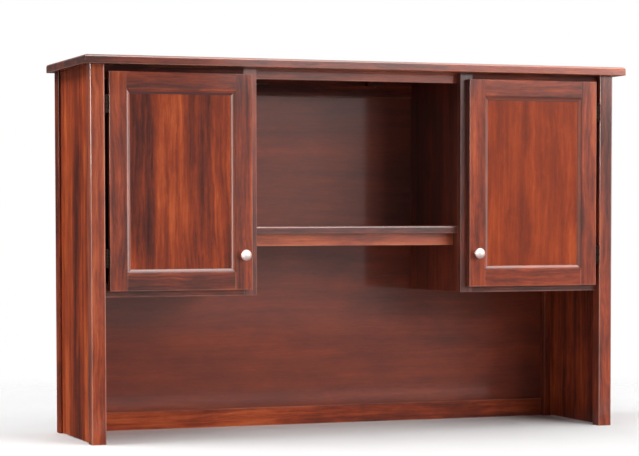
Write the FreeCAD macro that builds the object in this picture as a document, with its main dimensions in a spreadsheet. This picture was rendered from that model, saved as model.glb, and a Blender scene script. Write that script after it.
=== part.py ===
import FreeCAD, Part
import os

import Sketcher

# A computer hutch in red-brown hardwood: a case on four posts that stands on the back of a desk.
# Two cupboards with framed doors hang between the posts, left and right of an open bay with a
# shelf, and the space under them is open for a monitor. +X is right, +Y is back and +Z is up.
# The origin is under the middle of the whole outline. All sizes are in millimetres.

SIZES = {
    # The case, measured over its posts
    "body_width": 1606,
    "body_depth": 400,
    "body_height": 1043,
    # The top board and how far it stands out
    "top_thickness": 24,
    "side_overhang": 23,
    "front_overhang": 36,
    "top_round": 7,
    "top_ease": 2,
    # Posts, with a dowel hole in each foot
    "post_side": 42,
    "post_ease": 5,
    "foot_hole_radius": 4,
    "foot_hole_depth": 20,
    # Panels in the sides and back
    "side_panel_thickness": 12,
    "side_panel_recess": 8,
    "panel_groove_depth": 8,
    "panel_play": 0.5,
    "groove_play": 0.2,
    "panel_lift": 2,
    "back_panel_thickness": 6,
    "back_panel_setback": 6,
    # Rails across the back
    "back_rail_height": 54,
    "back_rail_thickness": 22,
    "back_rail_setback": 2,
    # Mortise and tenon joints
    "tenon_length": 12,
    "tenon_thickness": 8,
    "tenon_shoulder": 7,
    "tenon_play": 0.3,
    # Cupboards
    "bay_width": 630,
    "cupboard_floor": 405,
    "board_thickness": 18,
    "dado_depth": 6,
    "frame_width": 38,
    "floor_board_drop": 38,
    "cleat_side": 18,
    "cleat_inset": 20,
    # Loose shelf on pins
    "shelf_height": 300,
    "shelf_front_gap": 18,
    "shelf_back_gap": 8,
    "shelf_side_gap": 1,
    "pin_radius": 2.5,
    "pin_length": 16,
    "pin_hole_play": 0.1,
    "pin_hole_pitch": 32,
    "pin_inset": 45,
    # Open bay in the middle
    "bay_rail_height": 28,
    "bay_rail_setback": 48,
    "bay_shelf_top": 600,
    "bay_shelf_thickness": 22,
    "bay_shelf_setback": 46,
    "bay_shelf_ease": 7,
    "apron_height": 35,
    "apron_setback": 74,
    # Doors
    "hinge_gap": 12,
    "door_reveal": 20,
    "door_top_reveal": 18,
    "door_bottom_reveal": 17,
    "door_thickness": 20,
    "door_standoff": 2,
    "stile_width": 60,
    "door_ease": 1.5,
    # Moulded inner edge of the door frame
    "moulding_width": 11,
    "moulding_quirk": 1.5,
    "moulding_step": 1,
    "moulding_depth": 5,
    "moulding_lip": 0.5,
    "tongue_play": 0.5,
    "door_panel_thickness": 5,
    # Knobs
    "knob_inset": 25,
    "knob_height": 97,
    "knob_radius": 15.9,
    "knob_rim": 18,
    "knob_length": 29,
    "knob_rose_radius": 9,
    "knob_rose_height": 2.5,
    "knob_neck_radius": 6.2,
    "knob_neck_height": 9,
    "knob_round": 2.5,
    "knob_bore_depth": 14,
    "bolt_radius": 2,
    "bolt_play": 0.1,
    "bolt_reach": 12,
    "bolt_head_radius": 4.2,
    "bolt_head_height": 2.5,
    # Hinges
    "leaf_height": 50,
    "leaf_width": 16,
    "leaf_thickness": 1.8,
    "leaf_inset": 65,
    "pivot_setback": 2.5,
    "hinge_play": 0.3,
    "knuckle_gap": 0.4,
    "pivot_radius": 2,
    "pivot_play": 0.05,
    "pivot_head_radius": 3.2,
    "pivot_head_height": 1.5,
    # Countersunk screws in the hinges
    "screw_radius": 1.4,
    "screw_head_radius": 3,
    "screw_length": 16,
    "screw_play": 0.05,
    "screw_pitch": 16,
    "screw_line": 10,
    # Blocks and screws that hold the top board
    "block_length": 60,
    "block_side": 20,
    "block_place": 190,
    "block_screw_length": 34,
    "block_screw_radius": 2,
    "block_screw_head": 4,
    "block_screw_cap": 2,
    # Magnetic catches and their striking plates, and felt dots
    "catch_length": 40,
    "catch_depth": 16,
    "catch_height": 13,
    "catch_ear": 8,
    "catch_ear_height": 3,
    "catch_inset": 30,
    "catch_gap": 0.3,
    "strike_thickness": 1.2,
    "strike_margin": 2,
    "catch_screw_radius": 1.5,
    "catch_screw_head": 2.8,
    "catch_screw_cap": 1.4,
    "catch_screw_length": 14,
    "dot_radius": 4,
    "dot_inset": 9,
    "dot_height": 30,
    # How far a cut runs past the face that it opens
    "overrun": 1,
}

# Counts, angles, and how far behind a moulding its arc is centred
KNUCKLES = 5
LEAF_SCREWS = 3
PIN_HOLES = 3
FULL_TURN = 360
QUARTER_TURN = 90
CROWN_SHARE = 2.25

PLANES = {"x": "YZ_Plane", "y": "XZ_Plane", "z": "XY_Plane"}
AXES = {"x": "X_Axis", "y": "Y_Axis", "z": "Z_Axis"}
SIDES = (("left", -1), ("right", 1))

doc = FreeCAD.newDocument("hutch")
subparts = []


class Length:
    """A length that keeps both its number and the sum of named sizes that gives it."""

    def __init__(self, text, value):
        self.text = text
        self.value = value

    def __add__(self, other):
        other = as_length(other)
        return Length("(%s + %s)" % (self.text, other.text), self.value + other.value)

    def __sub__(self, other):
        other = as_length(other)
        return Length("(%s - %s)" % (self.text, other.text), self.value - other.value)

    def __mul__(self, factor):
        return Length("(%s * %s)" % (self.text, factor), self.value * factor)

    def __truediv__(self, factor):
        return Length("(%s / %s)" % (self.text, factor), self.value / factor)

    def __neg__(self):
        return self * -1

    __rmul__ = __mul__


def as_length(value):
    """Let a plain zero stand beside the named lengths."""
    return value if isinstance(value, Length) else Length(str(value), value)


class Sheet:
    """The driving sizes, each in an aliased cell, and read back by name."""

    def __init__(self, sizes):
        sheet = doc.addObject("Spreadsheet::Sheet", "Sizes")
        for row, (name, value) in enumerate(sizes.items(), 1):
            sheet.set("A%d" % row, name.replace("_", " "))
            sheet.set("B%d" % row, str(value))
            sheet.setAlias("B%d" % row, name)
            setattr(self, name, Length("Sizes." + name, value))
        doc.recompute()


size = Sheet(SIZES)


def bind(thing, name, value):
    """Tie a property to its sum of named sizes."""
    thing.setExpression(name, as_length(value).text)


def vector(point):
    """The place of a sketch point before the sketch is solved."""
    return FreeCAD.Vector(as_length(point[0]).value, as_length(point[1]).value, 0)


def hold(sketch, geometry, vertex, point, kinds=("DistanceX", "DistanceY")):
    """Fix a point of a sketch by its distances from the sketch's origin."""
    for kind in kinds:
        place = as_length(point[0] if kind == "DistanceX" else point[1])
        index = sketch.addConstraint(
            Sketcher.Constraint(kind, -1, 1, geometry, vertex, place.value)
        )
        bind(sketch, "Constraints[%d]" % index, place)


def arc_between(start, end, centre):
    """The short arc from start to end, and whether it had to be drawn from end to start."""
    circle = Part.Circle(centre, FreeCAD.Vector(0, 0, 1), (start - centre).Length)
    backwards = (start - centre).cross(end - centre).z < 0
    ends = (end, start) if backwards else (start, end)
    return Part.ArcOfCircle(circle, circle.parameter(ends[0]), circle.parameter(ends[1])), backwards


def draw_outline(sketch, corners, centres):
    """Draw a closed outline; centres gives the middle of each arc by the corner it leaves."""
    first = sketch.GeometryCount
    total = len(corners)
    ends = []
    for number, corner in enumerate(corners):
        start = vector(corner)
        end = vector(corners[(number + 1) % total])
        backwards = False
        edge = Part.LineSegment(start, end)
        if number in centres:
            edge, backwards = arc_between(start, end, vector(centres[number]))
        sketch.addGeometry(edge, False)
        ends.append((2, 1) if backwards else (1, 2))
    for number, corner in enumerate(corners):
        after = (number + 1) % total
        sketch.addConstraint(
            Sketcher.Constraint(
                "Coincident", first + number, ends[number][1], first + after, ends[after][0]
            )
        )
        hold(sketch, first + number, ends[number][0], corner)
    for number, centre in centres.items():
        chord = vector(corners[(number + 1) % total]) - vector(corners[number])
        kind = "DistanceX" if abs(chord.y) >= abs(chord.x) else "DistanceY"
        hold(sketch, first + number, 3, centre, (kind,))


def draw_circle(sketch, centre, radius):
    """Draw a circle held by its centre and radius."""
    number = sketch.GeometryCount
    sketch.addGeometry(Part.Circle(vector(centre), FreeCAD.Vector(0, 0, 1), radius.value), False)
    hold(sketch, number, 3, centre)
    index = sketch.addConstraint(Sketcher.Constraint("Radius", number, radius.value))
    bind(sketch, "Constraints[%d]" % index, radius)


def rectangle(low, extent):
    """The corners of a rectangle from its low corner and its sides."""
    high = (low[0] + extent[0], low[1] + extent[1])
    return [low, (high[0], low[1]), high, (low[0], high[1])]


class Piece:
    """A sub-part with a frame of its own. On the left side its X runs the other way."""

    def __init__(self, label, place, side=1, kept=True):
        self.side = side
        self.body = doc.addObject("PartDesign::Body", label)
        self.body.Label = label
        self.body.AllowCompound = True
        mirrored = (side * as_length(place[0]), place[1], place[2])
        for axis, value in zip("xyz", mirrored):
            bind(self.body, "Placement.Base." + axis, value)
        if kept:
            subparts.append(self.body)

    def feature(self, kind):
        """Add one feature to the body, named after both."""
        return self.body.newObject("PartDesign::" + kind, self.body.Name + "_" + kind.lower())

    def mirror(self, point):
        """Turn over the X of a point on the left side."""
        return (self.side * as_length(point[0]), point[1])

    def sketch(self, axis, offset):
        """Start a sketch square to an axis."""
        origin = self.body.Origin.OriginFeatures
        plane = [item for item in origin if item.Role == PLANES[axis]][0]
        sketch = self.body.newObject("Sketcher::SketchObject", self.body.Name + "_sketch")
        sketch.AttachmentSupport = [(plane, "")]
        sketch.MapMode = "FlatFace"
        bind(sketch, "AttachmentOffset.Base.z", offset)
        return sketch

    def sketch_at(self, axis, low, length):
        """Start a sketch on the plane from which a pad along its normal fills low to high."""
        if axis == "z":
            return self.sketch(axis, low)
        if axis == "x" and self.side > 0:
            return self.sketch(axis, low)
        return self.sketch(axis, -(low + length))

    def extrude(self, kind, sketch, length):
        """Pad or pocket a sketch along its normal."""
        feature = self.feature(kind)
        feature.Profile = sketch
        feature.Reversed = kind == "Pocket"
        bind(feature, "Length", length)
        return feature

    def prism(self, kind, axis, outlines, low, length, centres=None):
        """Pad or pocket one or more outlines along an axis."""
        low = as_length(low)
        sketch = self.sketch_at(axis, low, length)
        for corners in outlines:
            middles = dict(centres or {})
            if axis != "x":
                corners = [self.mirror(corner) for corner in corners]
                middles = {key: self.mirror(centre) for key, centre in middles.items()}
            draw_outline(sketch, corners, middles)
        return self.extrude(kind, sketch, length)

    def box(self, kind, low, extent):
        """Pad or pocket a box from its low corner and its three sides."""
        low = [as_length(value) for value in low]
        return self.prism(kind, "z", [rectangle(low[:2], extent[:2])], low[2], extent[2])

    def rods(self, kind, axis, places, radius, low, length):
        """Pad or pocket round rods along an axis."""
        low = as_length(low)
        sketch = self.sketch_at(axis, low, length)
        for place in places:
            draw_circle(sketch, place if axis == "x" else self.mirror(place), radius)
        return self.extrude(kind, sketch, length)

    def turn(self, corners, centres=None):
        """Turn a profile, given as radius and height, about the Z axis."""
        sketch = self.sketch("y", 0)
        draw_outline(sketch, corners, centres or {})
        feature = self.feature("Revolution")
        feature.Profile = sketch
        feature.ReferenceAxis = (sketch, ["V_Axis"])
        feature.Angle = FULL_TURN
        return feature

    def ease(self, chosen, radius, kind="Fillet"):
        """Round the edges of the body that the test picks."""
        doc.recompute()
        shape = self.body.Tip.Shape
        names = ["Edge%d" % (n + 1) for n, edge in enumerate(shape.Edges) if chosen(edge)]
        base = self.body.Tip
        feature = self.feature(kind)
        feature.Base = (base, names)
        bind(feature, "Radius", radius)
        return feature

    def repeat(self, features, steps):
        """Repeat features along axes of the body, for each (axis, spacing, count)."""
        multiple = self.feature("MultiTransform")
        multiple.Originals = features
        patterns = []
        for axis, spacing, count in steps:
            origin = self.body.Origin.OriginFeatures
            line = [item for item in origin if item.Role == AXES[axis]][0]
            pattern = self.feature("LinearPattern")
            pattern.Direction = (line, [""])
            bind(pattern, "Length", spacing * (count - 1))
            pattern.Occurrences = count
            patterns.append(pattern)
        multiple.Transformations = patterns
        self.body.Tip = multiple
        return multiple


def upright(edge):
    """True for a straight edge along Z."""
    box = edge.BoundBox
    return max(box.XLength, box.YLength) < box.ZLength * 1e-6


# Places that several pieces share
front = (size.front_overhang - size.body_depth) / 2
back = front + size.body_depth
half_body = size.body_width / 2
post_inner = half_body - size.post_side
side_panel_outer = half_body - size.side_panel_recess
side_panel_inner = side_panel_outer - size.side_panel_thickness
half_bay = size.bay_width / 2
back_panel_face = size.body_depth - size.back_panel_setback - size.back_panel_thickness
back_rail_face = size.body_depth - size.back_rail_setback - size.back_rail_thickness
panel_inset = size.panel_groove_depth - size.panel_play
frame_face = size.door_thickness + size.door_standoff
frame_thickness = size.post_side - frame_face
cupboard_height = size.body_height - size.cupboard_floor
floor_board_top = size.cupboard_floor + size.floor_board_drop
floor_board_under = floor_board_top - size.board_thickness
divider_inner = half_bay + size.board_thickness
shelf_under = floor_board_top + size.shelf_height
pin_centre = shelf_under - size.pin_radius
pin_low_centre = pin_centre - size.pin_hole_pitch
top_rail_under = size.body_height - size.frame_width
mortise_depth = size.tenon_length + size.tenon_play

door_inner = half_bay + size.door_reveal
door_outer = post_inner - size.hinge_gap
door_width = door_outer - door_inner
door_low = size.cupboard_floor + size.door_bottom_reveal
door_height = size.body_height - size.door_top_reveal - door_low
moulding_bevel = size.moulding_width - size.moulding_step
groove_wall = size.moulding_quirk + size.moulding_depth + size.moulding_lip
groove_width = size.door_panel_thickness + size.groove_play * 2
door_groove_depth = size.moulding_width + size.tongue_play
pivot_centre = post_inner - size.hinge_gap / 2
leaf_offset = size.hinge_gap / 2
leaf_low_lower = door_low + size.leaf_inset
leaf_low_upper = door_low + door_height - size.leaf_inset - size.leaf_height
leaf_rise = leaf_low_upper - leaf_low_lower
leaf_screw_low = (size.leaf_height - size.screw_pitch * (LEAF_SCREWS - 1)) / 2


def cut_mortise(post, face_depth, low, height):
    """A mortise in a post's inner face, for the tenon of a rail of this height."""
    shoulder = size.tenon_shoulder
    post.box(
        "Pocket",
        (-size.overrun, face_depth - size.tenon_thickness / 2, low + shoulder),
        (mortise_depth + size.overrun, size.tenon_thickness, height - shoulder * 2),
    )


def make_post(label, side, at_front):
    """A square post, grooved for the side panel and mortised for the rails that meet it."""
    depth = 0 if at_front else size.body_depth - size.post_side
    post = Piece(label, (post_inner, front + depth, 0), side)
    post.box("Pad", (0, 0, 0), (size.post_side, size.post_side, size.body_height))
    post.ease(upright, size.post_ease)
    groove_low = side_panel_inner - post_inner - size.groove_play
    groove_side = size.side_panel_thickness + size.groove_play * 2
    groove_start = size.post_side - size.panel_groove_depth if at_front else -size.overrun
    post.box(
        "Pocket",
        (groove_low, groove_start, -size.overrun),
        (groove_side, size.panel_groove_depth + size.overrun, size.body_height + size.overrun * 2),
    )
    middle = size.post_side / 2
    post.rods("Pocket", "z", [(middle, middle)], size.foot_hole_radius,
              -size.overrun, size.foot_hole_depth + size.overrun)
    if at_front:
        rail_middle = frame_face + frame_thickness / 2
        cut_mortise(post, rail_middle, size.cupboard_floor, size.frame_width)
        cut_mortise(post, rail_middle, top_rail_under, size.frame_width)
        bore_leaf_screws(post, -size.overrun, size.pivot_setback, 0)
        return post
    rail_middle = back_rail_face + size.back_rail_thickness / 2 - depth
    cut_mortise(post, rail_middle, as_length(0), size.back_rail_height)
    cut_mortise(post, rail_middle, size.body_height - size.back_rail_height, size.back_rail_height)
    panel_low = size.back_rail_height - size.panel_groove_depth
    post.box(
        "Pocket",
        (-size.overrun, back_panel_face - depth - size.groove_play, panel_low),
        (size.panel_groove_depth + size.overrun, size.back_panel_thickness + size.groove_play * 2,
         size.body_height - panel_low * 2),
    )
    return post


def make_top_board():
    """The top board, rounded along its upper front and side edges."""
    width = size.body_width + size.side_overhang * 2
    depth = size.body_depth + size.front_overhang
    board = Piece("top_board", (width / -2, front - size.front_overhang, size.body_height))
    board.box("Pad", (0, 0, 0), (width, depth, size.top_thickness))

    def at_back(edge):
        return edge.BoundBox.YMin > depth.value - size.top_ease.value

    def upper(edge):
        return edge.BoundBox.ZMin > size.top_thickness.value - size.top_ease.value

    def lower(edge):
        return edge.BoundBox.ZMax < size.top_ease.value

    board.ease(lambda edge: upper(edge) and not at_back(edge), size.top_round)
    board.ease(lambda edge: lower(edge) and not at_back(edge), size.top_ease)
    reach = size.block_screw_length - size.block_side
    places = [(x - width / -2, y - front + size.front_overhang) for x, y in block_screw_places()]
    board.rods("Pocket", "z", places, size.block_screw_radius + size.screw_play,
               -size.overrun, reach + size.overrun)
    return board


def make_side_panel(name, side):
    """A plain panel that stands in the grooves of the two posts."""
    start = size.post_side - panel_inset
    panel = Piece(name + "_side_panel", (side_panel_inner, front + start, size.panel_lift), side)
    panel.box(
        "Pad", (0, 0, 0),
        (size.side_panel_thickness, size.body_depth - start * 2,
         size.body_height - size.panel_lift),
    )
    bore_pin_holes(panel, -size.overrun, start, size.panel_lift)
    return panel


def tenoned_rail(label, place, length, depth, height, side=1):
    """A rail with a stub tenon at each end; its frame starts at the left shoulder."""
    rail = Piece(label, place, side)
    rail.box("Pad", (0, 0, 0), (length, depth, height))
    tenon = (length + size.tenon_length * 2, size.tenon_thickness,
             height - size.tenon_shoulder * 2)
    rail.box("Pad", (-size.tenon_length, (depth - size.tenon_thickness) / 2,
                     size.tenon_shoulder), tenon)
    return rail


def make_back():
    """Two rails between the back posts, with the back panel in their grooves."""
    width = post_inner * 2
    past = size.tenon_length + size.overrun
    groove = (width + past * 2, size.back_panel_thickness + size.groove_play * 2,
              size.panel_groove_depth + size.overrun)
    groove_depth = back_panel_face - back_rail_face - size.groove_play
    low_rail = tenoned_rail("back_bottom_rail", (-post_inner, front + back_rail_face, 0),
                            width, size.back_rail_thickness, size.back_rail_height)
    low_rail.box("Pocket", (-past, groove_depth, size.back_rail_height - size.panel_groove_depth),
                 groove)
    top_low = size.body_height - size.back_rail_height
    top_rail = tenoned_rail("back_top_rail", (-post_inner, front + back_rail_face, top_low),
                            width, size.back_rail_thickness, size.back_rail_height)
    top_rail.box("Pocket", (-past, groove_depth, -size.overrun), groove)
    inset = size.back_rail_height - panel_inset
    half_panel = post_inner + panel_inset
    panel = Piece("back_panel", (-half_panel, front + back_panel_face, inset))
    panel.box("Pad", (0, 0, 0),
              (half_panel * 2, size.back_panel_thickness, size.body_height - inset * 2))


def bore_pin_holes(piece, face, start, base):
    """Two rows of holes for shelf pins, into a face square to X."""
    depth = size.pin_length / 2 + size.overrun
    front_row = size.post_side + size.pin_inset - start
    back_row = back_panel_face - size.pin_inset - start
    low = pin_low_centre - base
    rows = [(front_row, low), (back_row, low)]
    holes = piece.rods("Pocket", "x", rows, size.pin_radius + size.pin_hole_play, face,
                       depth + size.overrun)
    piece.repeat([holes], [("z", size.pin_hole_pitch, PIN_HOLES)])


def make_divider(name, side):
    """The cupboard's inner wall, housed out for the two boards that it carries."""
    divider = Piece(name + "_divider", (half_bay, front + size.post_side, size.cupboard_floor), side)
    depth = back_panel_face - size.post_side
    divider.box("Pad", (0, 0, 0), (size.board_thickness, depth, cupboard_height))
    divider.box(
        "Pocket",
        (size.board_thickness - size.dado_depth, -size.overrun,
         floor_board_under - size.cupboard_floor),
        (size.dado_depth + size.overrun, depth + size.overrun * 2, size.board_thickness),
    )
    shelf_start = size.bay_shelf_setback - size.post_side
    divider.box(
        "Pocket",
        (-size.overrun, shelf_start,
         size.bay_shelf_top - size.bay_shelf_thickness - size.cupboard_floor),
        (size.dado_depth + size.overrun, depth - shelf_start + size.overrun,
         size.bay_shelf_thickness),
    )
    notch = back_panel_face - back_rail_face
    divider.box(
        "Pocket",
        (-size.overrun, depth - notch, cupboard_height - size.back_rail_height),
        (size.board_thickness + size.overrun * 2, notch + size.overrun,
         size.back_rail_height + size.overrun),
    )
    bore_pin_holes(divider, size.board_thickness - size.pin_length / 2 - size.overrun,
                   size.post_side, size.cupboard_floor)
    return divider


def make_face_frame(name, side):
    """The frame round a cupboard's mouth: one stile, and two rails tenoned into it and the post."""
    stile = Piece(name + "_frame_stile",
                  (half_bay, front + frame_face, size.cupboard_floor), side)
    stile.box("Pad", (0, 0, 0), (size.frame_width, frame_thickness, cupboard_height))
    for low in (as_length(0), cupboard_height - size.frame_width):
        stile.box(
            "Pocket",
            (size.frame_width - mortise_depth, (frame_thickness - size.tenon_thickness) / 2,
             low + size.tenon_shoulder),
            (mortise_depth + size.overrun, size.tenon_thickness,
             size.frame_width - size.tenon_shoulder * 2),
        )
    rail_start = half_bay + size.frame_width
    for place, low in (("bottom", size.cupboard_floor), ("top", top_rail_under)):
        rail = tenoned_rail("%s_frame_%s_rail" % (name, place),
                            (rail_start, front + frame_face, low),
                            post_inner - rail_start, frame_thickness, size.frame_width, side)
        if place == "bottom":
            rail.rods("Pocket", "z", catch_screw_places(rail_start, frame_face),
                      size.catch_screw_radius + size.screw_play,
                      size.frame_width - catch_screw_reach(), catch_screw_reach() + size.overrun)


def make_floor_board(name, side):
    """The cupboard's floor, housed in the divider and notched round the back post."""
    start = divider_inner - size.dado_depth
    board = Piece(name + "_cupboard_floor", (start, front + size.post_side, floor_board_under), side)
    width = side_panel_inner - start
    depth = back_panel_face - size.post_side
    board.box("Pad", (0, 0, 0), (width, depth, size.board_thickness))
    notch_start = size.body_depth - size.post_side * 2
    board.box(
        "Pocket",
        (post_inner - start, notch_start, -size.overrun),
        (width - post_inner + start + size.overrun, depth - notch_start + size.overrun,
         size.board_thickness + size.overrun * 2),
    )
    cleat = Piece(name + "_floor_cleat",
                  (side_panel_inner - size.cleat_side,
                   front + size.post_side + size.cleat_inset,
                   floor_board_under - size.cleat_side), side)
    cleat.box("Pad", (0, 0, 0),
              (size.cleat_side, notch_start - size.cleat_inset * 2, size.cleat_side))


def make_loose_shelf(name, side):
    """A shelf that rests on four pins inside a cupboard."""
    start = divider_inner + size.shelf_side_gap
    shelf_front = size.post_side + size.shelf_front_gap
    shelf = Piece(name + "_cupboard_shelf", (start, front + shelf_front, shelf_under), side)
    depth = size.body_depth - size.post_side - size.shelf_back_gap - shelf_front
    shelf.box("Pad", (0, 0, 0),
              (side_panel_inner - size.shelf_side_gap - start, depth, size.board_thickness))


def make_shelf_pins():
    """Eight plain pins, half in a wall and half under a shelf."""
    pins = Piece("shelf_pins", (0, front, pin_centre))
    rows = [(size.post_side + size.pin_inset, 0), (back_panel_face - size.pin_inset, 0)]
    for wall in (divider_inner, side_panel_inner):
        for middle in (wall, -wall):
            pins.rods("Pad", "x", rows, size.pin_radius, middle - size.pin_length / 2,
                      size.pin_length)


def make_bay():
    """The open bay: a rail under the top board, and a shelf with an apron below it."""
    rail = Piece("bay_top_rail", (-half_bay, front + size.bay_rail_setback,
                                  size.body_height - size.bay_rail_height))
    rail.box("Pad", (0, 0, 0), (size.bay_width, size.board_thickness, size.bay_rail_height))
    half_shelf = half_bay + size.dado_depth
    shelf_low = size.bay_shelf_top - size.bay_shelf_thickness
    shelf = Piece("bay_shelf", (-half_shelf, front + size.bay_shelf_setback, shelf_low))
    shelf.box("Pad", (0, 0, 0), (half_shelf * 2, back_panel_face - size.bay_shelf_setback,
                                 size.bay_shelf_thickness))
    shelf.ease(lambda edge: edge.BoundBox.YMax < size.bay_shelf_ease.value
               and edge.BoundBox.ZMin > size.bay_shelf_thickness.value - size.top_ease.value,
               size.bay_shelf_ease)
    apron = Piece("bay_shelf_apron", (-half_bay, front + size.apron_setback,
                                      shelf_low - size.apron_height))
    apron.box("Pad", (0, 0, 0), (size.bay_width, size.board_thickness, size.apron_height))


def block_places():
    """The middle and the near edge of each block under the top board, as X and Y."""
    cupboard_middle = (door_inner + door_outer) / 2
    behind_bay_rail = front + size.bay_rail_setback + size.board_thickness
    behind_frame = front + size.post_side
    before_back_rail = front + back_rail_face - size.block_side
    places = []
    for sign in (-1, 1):
        places.append((size.block_place * sign, behind_bay_rail))
        places.append((size.block_place * sign, before_back_rail))
        places.append((cupboard_middle * sign, behind_frame))
        places.append((cupboard_middle * sign, before_back_rail))
    return places


def block_screw_places():
    """The axis of each screw through a block."""
    return [(x, y + size.block_side / 2) for x, y in block_places()]


def make_blocks():
    """Glued blocks behind the rails, each with a screw up into the top board."""
    low = size.body_height - size.block_side
    blocks = Piece("top_blocks", (0, 0, low))
    corners = [rectangle((x - size.block_length / 2, y), (size.block_length, size.block_side))
               for x, y in block_places()]
    blocks.prism("Pad", "z", corners, 0, size.block_side)
    blocks.rods("Pocket", "z", block_screw_places(), size.block_screw_radius + size.screw_play,
                -size.overrun, size.block_side + size.overrun * 2)
    screws = Piece("top_screws", (0, 0, low))
    screws.rods("Pad", "z", block_screw_places(), size.block_screw_head,
                -size.block_screw_cap, size.block_screw_cap)
    screws.rods("Pad", "z", block_screw_places(), size.block_screw_radius, 0,
                size.block_screw_length - size.screw_play)


def catch_screw_places(start, depth):
    """The two screws of a catch, from a frame that starts at this X and this depth."""
    low = door_inner + size.catch_inset + size.catch_ear / 2 - start
    middle = frame_face - size.catch_gap + size.catch_depth / 2 - depth
    return [(low, middle), (low + size.catch_length - size.catch_ear, middle)]


def catch_screw_reach():
    """How far a catch's screw goes into the rail."""
    return size.catch_screw_length - size.catch_ear_height


def make_catches():
    """A magnetic catch on each bottom frame rail, screwed down through its two ears."""
    catches = Piece("magnetic_catches", (0, front, floor_board_top))
    screws = Piece("catch_screws", (0, front, floor_board_top))
    for sign in (-1, 1):
        catches.side = sign
        screws.side = sign
        start = door_inner + size.catch_inset
        face = frame_face - size.catch_gap
        corners = [
            (start, as_length(0)),
            (start + size.catch_length, as_length(0)),
            (start + size.catch_length, size.catch_ear_height),
            (start + size.catch_length - size.catch_ear, size.catch_ear_height),
            (start + size.catch_length - size.catch_ear, size.catch_height),
            (start + size.catch_ear, size.catch_height),
            (start + size.catch_ear, size.catch_ear_height),
            (start, size.catch_ear_height),
        ]
        catches.prism("Pad", "y", [corners], face, size.catch_depth)
        places = catch_screw_places(as_length(0), as_length(0))
        catches.rods("Pocket", "z", places, size.catch_screw_radius + size.screw_play,
                     -size.overrun, size.catch_ear_height + size.overrun * 2)
        screws.rods("Pad", "z", places, size.catch_screw_head, size.catch_ear_height,
                    size.catch_screw_cap)
        screws.rods("Pad", "z", places, size.catch_screw_radius,
                    size.catch_ear_height - size.catch_screw_length, size.catch_screw_length)


def bore_leaf_screws(piece, face, pivot_depth, base):
    """Pilot holes for the screws of both leaves, into a face square to X."""
    line = pivot_depth + size.screw_line
    depth = size.screw_length - size.leaf_thickness + size.overrun
    for leaf_low in (leaf_low_lower, leaf_low_upper):
        places = [(line, leaf_low - base + leaf_screw_low + size.screw_pitch * number)
                  for number in range(LEAF_SCREWS)]
        piece.rods("Pocket", "x", places, size.screw_radius + size.screw_play, face, depth
                   + size.overrun)


def knuckle_spans(first):
    """The heights of every other knuckle of a barrel."""
    pitch = (size.leaf_height + size.knuckle_gap) / KNUCKLES
    return [(pitch * number, pitch - size.knuckle_gap) for number in range(first, KNUCKLES, 2)]


def make_leaves(label, side, toward, first):
    """Both leaves on one side of a door's hinges, each with its share of the barrel's knuckles."""
    leaf = Piece(label, (pivot_centre, front + size.pivot_setback, leaf_low_lower), side)
    leaf.side = side * toward
    barrel = leaf_offset - size.leaf_thickness - size.hinge_play
    plate = (size.leaf_thickness, size.leaf_width, size.leaf_height)
    made = [leaf.box("Pad", (leaf_offset - size.leaf_thickness, 0, 0), plate)]
    for low, height in knuckle_spans(first):
        made.append(leaf.rods("Pad", "z", [(0, 0)], barrel, low, height))
        made.append(leaf.box("Pad", (0, barrel / -2, low), (leaf_offset, barrel, height)))
    made.append(leaf.rods("Pocket", "z", [(0, 0)], size.pivot_radius + size.pivot_play,
                          -size.overrun, size.leaf_height + size.overrun * 2))
    places = [(size.screw_line, leaf_screw_low + size.screw_pitch * number)
              for number in range(LEAF_SCREWS)]
    made.append(leaf.rods("Pocket", "x", places, size.screw_radius + size.screw_play,
                          leaf_offset - size.leaf_thickness - size.overrun,
                          size.leaf_thickness + size.overrun * 2))
    for place in places:
        made.append(countersink(leaf, place))
    leaf.repeat(made, [("z", leaf_rise, 2)])
    return leaf


def countersink(leaf, place):
    """A conical seat for a screw's head, cut into the leaf's open face."""
    sketch = leaf.sketch("z", place[1])
    face = leaf_offset - size.leaf_thickness
    wide = size.screw_head_radius + size.screw_play
    narrow = size.screw_radius + size.screw_play
    corners = [
        (face, place[0] - wide),
        (face, place[0]),
        (face + wide - narrow, place[0]),
        (face + wide - narrow, place[0] - narrow),
    ]
    draw_outline(sketch, [leaf.mirror(corner) for corner in corners], {})
    axis = sketch.addGeometry(Part.LineSegment(vector(leaf.mirror(corners[1])),
                                               vector(leaf.mirror(corners[2]))), True)
    sketch.addConstraint(Sketcher.Constraint("Coincident", axis, 1, 1, 1))
    sketch.addConstraint(Sketcher.Constraint("Coincident", axis, 2, 2, 1))
    groove = leaf.feature("Groove")
    groove.Profile = sketch
    groove.ReferenceAxis = (sketch, ["Axis0"])
    groove.Angle = FULL_TURN
    return groove


def make_leaf_screws(label, side, toward):
    """The countersunk screws of both leaves on one side."""
    face = pivot_centre + (leaf_offset - size.leaf_thickness) * toward
    screws = Piece(label, (face, front + size.pivot_setback + size.screw_line,
                           leaf_low_lower + leaf_screw_low), side)
    turn = FreeCAD.Rotation(FreeCAD.Vector(0, 1, 0), QUARTER_TURN * side * toward)
    screws.body.Placement.Rotation = turn
    screws.side = side * toward
    cone = size.screw_head_radius - size.screw_radius
    made = screws.turn([
        (0, 0),
        (size.screw_head_radius, 0),
        (size.screw_radius, cone),
        (size.screw_radius, size.screw_length - cone),
        (0, size.screw_length),
    ])
    screws.repeat([made], [("x", size.screw_pitch, LEAF_SCREWS), ("x", leaf_rise, 2)])
    for pattern in screws.body.Tip.Transformations:
        pattern.Reversed = side * toward > 0
    return screws


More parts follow.
